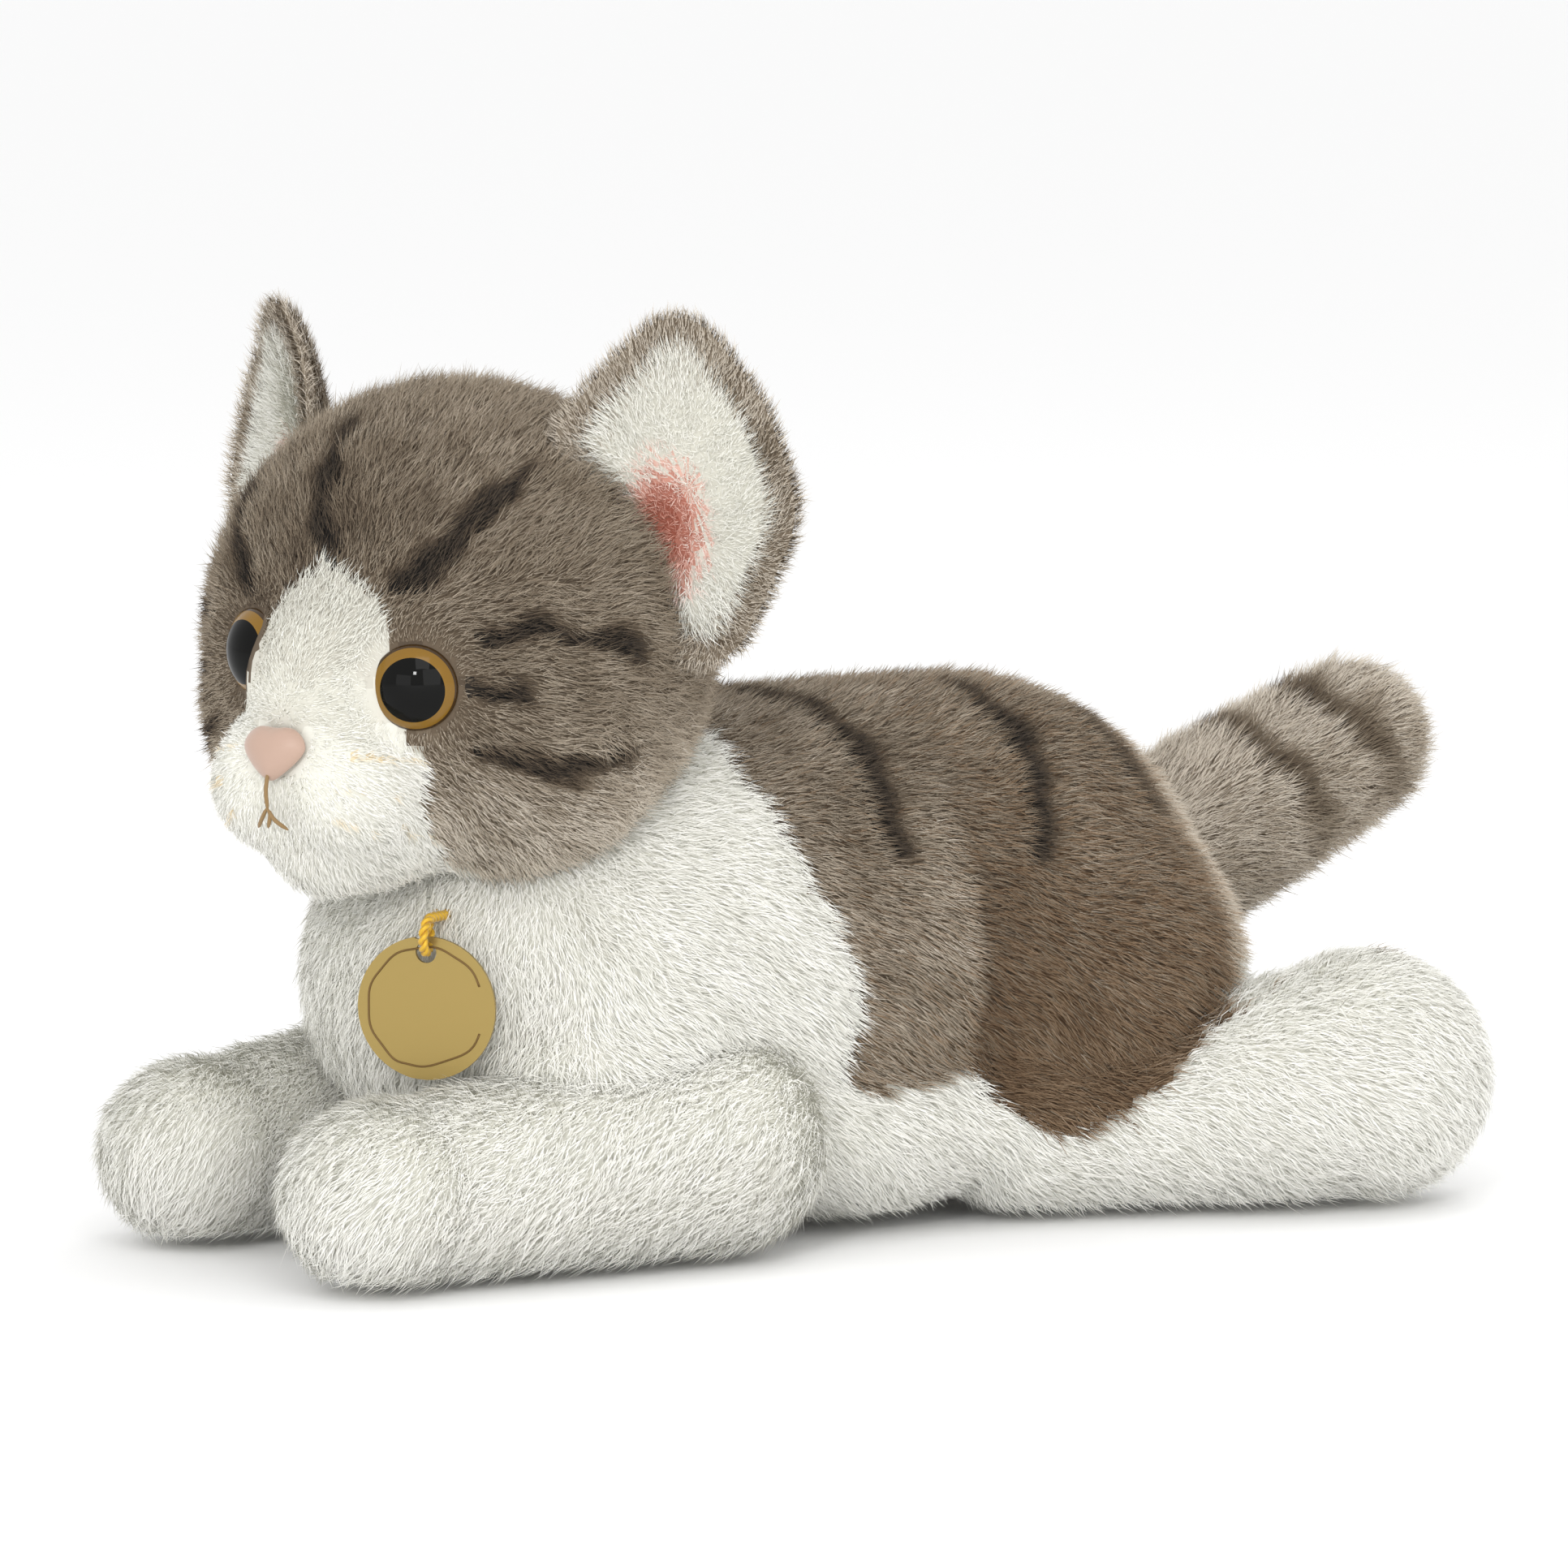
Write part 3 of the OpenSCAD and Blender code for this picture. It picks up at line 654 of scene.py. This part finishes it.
for s, side in ((1, "left"), (-1, "right")):
    place = head_place @ Matrix.Scale(s, 4, (1, 0, 0)) @ Matrix.Rotation(ear_open, 4, "Z")
    place = place @ Matrix.Translation((ear_centre[0] * MM, -ear_plane * MM, ear_centre[1] * MM))
    place = place @ Matrix.Rotation(math.radians(90), 4, "X")
    body = f"{side}_ear"

    def behind(t, p):
        return cup(p) - 2.4 * (1 - t ** 8) ** 0.5

    def ear_back_rule(p, n):
        """Grey pile combed out over the edge, and none where the lining is sewn on."""
        count = len(p)
        wander = waves(p, 8, 51)
        edge = np.hypot(p[:, 0] / 17, (p[:, 1] + 2) / 25)
        face = n[:, 2] > 0.3
        kind = np.full(count, kind_of("grey"))
        tone = 0.74 + 0.04 * wander[:, 0] + 0.25 * np.clip(edge - 0.6, 0, 0.5)
        way = np.stack([p[:, 0] / 17, p[:, 1] / 25 + 0.5, np.full(count, 0.25)], 1)
        length = np.where(face & (edge < 0.58), 0, 2.6)
        length = np.where((p[:, 1] < -12) & (p[:, 0] < -6) & (length > 0), 2.2, length)
        return kind, tone, length, np.full(count, 55.0), way

    def lining_rule(p, n):
        """Short white pile, coral towards the middle and longer at the edge."""
        count = len(p)
        wander = waves(p, 6, 52)
        kind = np.full(count, kind_of("white"))
        tone = 0.48 + 0.05 * wander[:, 0]
        blush = np.hypot((p[:, 0] + 3.5) / 3.2, (p[:, 1] + 6.0) / 5.2) + 0.1 * wander[:, 1]
        pink = np.random.default_rng(53).random(count) < 1.9 - 0.8 * blush
        kind = np.where(pink, kind_of("pink"), kind)
        tone = np.where(pink, np.clip(0.05 + 0.42 * blush, 0, 1), tone)
        way = np.stack([p[:, 0] / 14, p[:, 1] / 20 + 0.2, np.full(count, 0.0)], 1)
        edge = np.hypot(p[:, 0] / 14, (p[:, 1]) / 22)
        length = np.where(n[:, 2] < 0.1, 0, np.interp(edge, [0.2, 0.7, 1], [1.7, 2.6, 3.4]))
        return kind, tone, length, np.interp(edge, [0.2, 1], [38, 58]), way

    back = pad(f"{side}_ear_back_cloth", ear_edge(0), lambda t, p: cup(p), behind)
    lining = pad(f"{side}_ear_lining_cloth", ear_edge(3.8), lambda t, p: cup(p) + 1.5 * (1 - t ** 6) ** 0.5,
                 lambda t, p: cup(p) + 0.1 * (1 - t))
    pile(f"{side}_ear_grey_pile", body, back, place, ear_back_rule, 9.0, 0.12, seed=60 + s)
    pile(f"{side}_ear_white_pile", body, lining, place, lining_rule, 11.0, 0.11, seed=63 + s)
    colour_faces(back, place, ear_back_rule)
    colour_faces(lining, place, lining_rule)
    if s < 0:
        back.data.flip_normals()
        lining.data.flip_normals()
    for o, node, slot in ((back, "ear_back", "grey_pile"), (lining, "ear_lining", "ear_lining")):
        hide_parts(f"{side}_{node}")
        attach(o, body)

# ---- Body cloth ----
# A long stuffed barrel with a deep chest, a rounded rump and a haunch on each side. The saddle is grey
# with dark airbrushed stripes; the chest, belly and lower edge are white.

body = cloth_over("body_cloth", [
    *run_of_blobs([((0, -20, 39), 36.5), ((0, 28, 39), 36.5)], 6),
    blob((0, -20, 39), (36.5, 57.5, 36.5)), blob((0, 28, 39), (36.5, 40, 36.5)),
    *[blob((s * x, y, z), radii) for s in (1, -1) for x, y, z, radii in (
        (16, 37, 33, (26, 27.5, 27)), (16, -38, 36, (20, 26, 26)),
        (23, -45, 25, (14, 21, 13)), (20, -2, 17.5, (16, 27, 14.5)), (24, 20, 16, (14, 20, 12)))],
], 2.0, 9)
body_stripes = [[(-10, 6), (-5, 16), (-3, 26), (-3, 40), (-5, 62)], [(24, 8), (25, 38), (21, 66)],
                [(43, 22), (45, 40), (46, 54)]]


def grey_area(p):
    """True on the grey saddle and thighs, seen from the side."""
    wander, fine = waves(p, 10, 71), waves(p, 2.6, 72)
    y = p[:, 1] + 1.2 * wander[:, 0] + 0.8 * fine[:, 0]
    z = p[:, 2] + 1.2 * wander[:, 1] + 0.8 * fine[:, 1]
    front = np.interp(z, [18, 26, 35, 50, 61, 69, 80], [-12, -14, -14.5, -19, -23.5, -26, -27])
    low = np.interp(y, [-20, 6, 12, 18, 25, 32, 39, 46, 52, 60],
                    [22.5, 22.5, 18.5, 15, 13.5, 17, 22, 28, 33, 36])
    return (y > front) & (z > low)


def brownish(p):
    """True for the fibres that are warmer, more of them low down on the flank and the thigh."""
    share = np.clip(1.05 - (p[:, 2] - 14) / 70, 0.15, 0.95) * np.clip(0.3 + (p[:, 1] - 4) / 12, 0.25, 1)
    share = share * np.clip((62 - p[:, 1]) / 14, 0, 1)
    return np.random.default_rng(77).random(len(p)) < share


def body_rule(p, n):
    """The body's markings and the lie of its pile."""
    count = len(p)
    wander = waves(p, 12, 73)
    grey = grey_area(p)
    angle = np.degrees(np.arctan2(np.abs(p[:, 0]), p[:, 2] - 39))
    flat = np.stack([p[:, 1] + 0.9 * wander[:, 0], angle * 0.66 + 0.9 * wander[:, 1]], 1)
    dark = np.zeros(count)
    for line, power in zip(body_stripes, (1, 1, 0.7)):
        dark = np.maximum(dark, power * near_line(flat, [(y, a * 0.66) for y, a in line], 3.1))
    high = np.clip((p[:, 2] - 30) / 45, 0, 1)
    tone = 0.53 + 0.10 * high + 0.03 * wander[:, 0]
    # the flank in front of the haunch is paler, and so is the saddle's front edge; a band just behind the
    # crease is painted shade, and the rump is a painted highlight
    ahead = np.clip((8 - p[:, 1]) / 3, 0, 1) * np.clip((62 - p[:, 2]) / 14, 0, 1)
    # painted shade: darker just behind the crease between the flank and the haunch
    behind = (p[:, 1] > 7) * np.clip(1 - (p[:, 1] - 7) / 12, 0, 1) * np.clip((64 - p[:, 2]) / 14, 0, 1)
    tone = tone + 0.12 * ahead - 0.10 * behind + 0.05 * np.clip(1 - (p[:, 1] + 26) / 14, 0, 1)
    # painted highlight: the rump is painted much paler towards its back edge, where light catches the pile
    tone = tone + 0.6 * np.clip((p[:, 1] - 48) / 14, 0, 1)
    tone = tone * (1 - 0.74 * dark)
    brown = grey & brownish(p) & (dark < 0.3)
    kind = np.where(grey, np.where(brown, kind_of("brown"), kind_of("grey")), kind_of("white"))
    tone = np.where(grey, tone, 0.65 + 0.04 * wander[:, 2])
    chest = np.clip((-p[:, 1] - 45) / 20, 0, 1)[:, None]
    way = np.array([0, 1, -0.75]) * (1 - chest) + np.array([0, -0.2, -1.0]) * chest
    length = np.full(count, 3.7) - 0.4 * high
    lean = np.where(grey, 46.0, 62.0)
    rump = p[:, 1] > 58
    lean = np.where(rump, 35, lean)
    # nothing grows where other parts are sewn on, or under the cat
    covered = np.linalg.norm(p - np.array([2, -58, 87]), axis=1) < 33.5
    for s in (1, -1):
        for (a, ra), (b, rb) in ((((s * 30, -34, 16.5), 13.5), ((s * 24, -86, 13.5), 10.5)),
                                 (((s * 27, 22, 13), 9.5), ((s * 47, 72, 19), 15.5))):
            a, b = np.array(a), np.array(b)
            t = np.clip(((p - a) @ (b - a)) / ((b - a) @ (b - a)), 0, 1)
            covered |= np.linalg.norm(p - a - t[:, None] * (b - a), axis=1) < ra + (rb - ra) * t
    covered |= np.linalg.norm(p - np.array([0, 68, 46]), axis=1) < 9
    length = np.where(covered | ((p[:, 2] < 3.5) & (n[:, 2] < -0.85)), 0, length)
    return kind, tone, length, lean, np.broadcast_to(way, p.shape)


for colour, slot in (("grey", "grey_pile"), ("white", "white_pile")):
    def only(p, n, colour=colour):
        kind, tone, length, lean, way = body_rule(p, n)
        mine = (kind != kind_of("white")) == (colour == "grey")
        return kind, tone, np.where(mine, length, 0), lean, way
    pile(f"body_{colour}_pile", "torso", body, Matrix(), only, 7.5, 0.135, seed=21)
colour_faces(body, Matrix(), body_rule)
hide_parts("back_skin", "belly_skin")
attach(body, "torso")

# ---- Belly panel ----
# A flat oval of white knitted cloth that closes the underside, and that the cat rests on.

straight, half_w = 22.0, 12.5
oval = []
for k in range(72):
    a = 2 * math.pi * k / 72
    oval.append((half_w * math.cos(a), half_w * math.sin(a) + math.copysign(straight, math.sin(a))
                 * min(1, abs(math.sin(a)) * 6)))
panel = pad("belly_cloth", oval, lambda t, p: 1.2 + 1.1 * (1 - t ** 10) ** 0.5,
            lambda t, p: 1.2 - 1.2 * (1 - t ** 14) ** 0.5,
            materials=[paint("belly_knit", (226, 222, 212), 0.9, Sheen_Weight=0.3)])
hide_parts("belly_panel")
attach(panel, "torso")

# ---- Legs ----
# Four stuffed legs of white plush. The front pair points forwards with round paws, the hind pair lies
# back and out with large soft feet, and the thighs carry the grey on.


def leg_rule(centre_line, grey_thigh):
    """White pile combed down the leg and over its end; the hind pair carry the grey on."""
    def rule(p, n):
        count = len(p)
        wander = waves(p, 9, 81)
        kind = np.full(count, kind_of("white"))
        tone = 0.70 + 0.04 * wander[:, 0]
        if grey_thigh:
            grey = grey_area(p)
            kind = np.where(grey, np.where(brownish(p), kind_of("brown"), kind_of("grey")), kind)
            thigh = 0.53 + 0.2 * np.clip((p[:, 1] - 30) / 22, 0, 1) + 0.03 * wander[:, 1]
            tone = np.where(grey, thigh, tone)
        a, b = (np.array(q, float) for q in centre_line)
        t = ((p - a) @ (b - a)) / ((b - a) @ (b - a))
        end = np.clip(t - 0.85, 0, 1)[:, None]
        way = unit((b - a)[None])[0] * 0.9 + np.array([0, 0, -0.55]) + end * np.array([0, 0, -1.6])
        length = np.interp(t, [0, 0.7, 1.0], [3.8, 3.8, 3.7])
        under = (p[:, 2] < 3) & (n[:, 2] < -0.8)
        in_body = (np.hypot(p[:, 0], p[:, 2] - 39) < 31) & (p[:, 1] > -48) & (p[:, 1] < 45)
        length = np.where(in_body, 0, np.where(under, 1.2, length))
        return kind, tone, length, np.full(count, 62.0), np.broadcast_to(way, p.shape)
    return rule


for s, side in ((1, "left"), (-1, "right")):
    front = cloth_over(f"{side}_front_leg_cloth", [
        *run_of_blobs([((s * 30, -34, 16.5), 14.8), ((s * 28.5, -52, 15.2), 13.4),
                       ((s * 25, -74, 13.6), 12.4)]),
        blob((s * 24, -85, 13.2), (13.6, 13.6, 12.2)), blob((s * 24, -78, 13), (12.6, 12, 11.8)),
    ])
    hind = cloth_over(f"{side}_hind_leg_cloth", [
        *run_of_blobs([((s * 27, 22, 13), 11.5), ((s * 36, 44, 14), 12.5), ((s * 43, 60, 17), 16)]),
        blob((s * 46.5, 71, 18.6), (17, 18.4, 17.4)),
    ])
    for o, pair, line, seed in ((front, "front", ((s * 30, -34, 16.5), (s * 24, -86, 13.5)), 41),
                                (hind, "hind", ((s * 27, 22, 13), (s * 47, 72, 19)), 44)):
        leg = f"{side}_{pair}_leg"
        rule = leg_rule(line, pair == "hind")
        pile(f"{leg}_pile", leg, o, Matrix(), rule, 6.6, 0.145, seed + s)
        colour_faces(o, Matrix(), rule)
        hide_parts(f"{leg}_skin")
        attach(o, leg)

# ---- Tail ----
# A short thick stuffed tail of grey plush with soft dark bands, sewn over a ball of stuffing.

tail_rise = math.radians(22)
tail_root = Vector((0, 66, 45))
tail_way = Vector((0, math.cos(tail_rise), math.sin(tail_rise)))
tail = cloth_over("tail_cloth", run_of_blobs([(tail_root, 12.4), (tail_root + 20 * tail_way, 12.2),
                                              (tail_root + 44 * tail_way, 10.6)], 5))


def tail_rule(p, n):
    """Grey pile combed towards the tip, with two dark bands that fade underneath."""
    count = len(p)
    wander = waves(p, 9, 91)
    along = (p - np.array(tail_root)) @ np.array(tail_way)
    up = p[:, 2] - (45 + along * math.sin(tail_rise))
    s = along + 0.25 * up + 1.4 * wander[:, 0]
    dark = np.zeros(count)
    for middle_of_band, half_width in ((24, 3.2), (39.5, 3.6)):
        dark = np.maximum(dark, np.clip(1.3 - np.abs(s - middle_of_band) / half_width, 0, 1))
    tone = 0.74 + 0.03 * wander[:, 1] + 0.12 * np.clip(up / 12, 0, 1)
    tone = tone * (1 - 0.55 * dark * np.clip(0.55 + up / 14, 0.15, 1))
    way = np.array(tail_way) + np.array([0, 0, -0.25])
    length = np.where(along < -6, 0, np.interp(along, [-6, 4, 50], [3, 4.4, 4.6]))
    return np.full(count, kind_of("grey")), tone, length, np.full(count, 50.0), np.broadcast_to(way, p.shape)


pile("tail_pile", "tail", tail, Matrix(), tail_rule, 8.5, 0.125, seed=95)
colour_faces(tail, Matrix(), tail_rule)
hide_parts("tail_skin")
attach(tail, "tail")

# ---- Inside ----
# Polyester fibre fills the skins, a cloth pouch of plastic pellets weights the belly, and a moulded
# washer is pressed on each eye stem.

inside = {
    "stuffing": paint("polyester_fibre", (240, 240, 238), 0.95, Sheen_Weight=0.4),
    "pouch": paint("pouch_cloth", (214, 210, 198), 0.9),
    "washer": paint("washer_plastic", (228, 228, 224), 0.45),
}
for name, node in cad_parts.items():
    for word, finish in inside.items():
        if word in name:
            node.data.materials.clear()
            node.data.materials.append(finish)
            node.data.polygons.foreach_set("material_index", [0] * len(node.data.polygons))
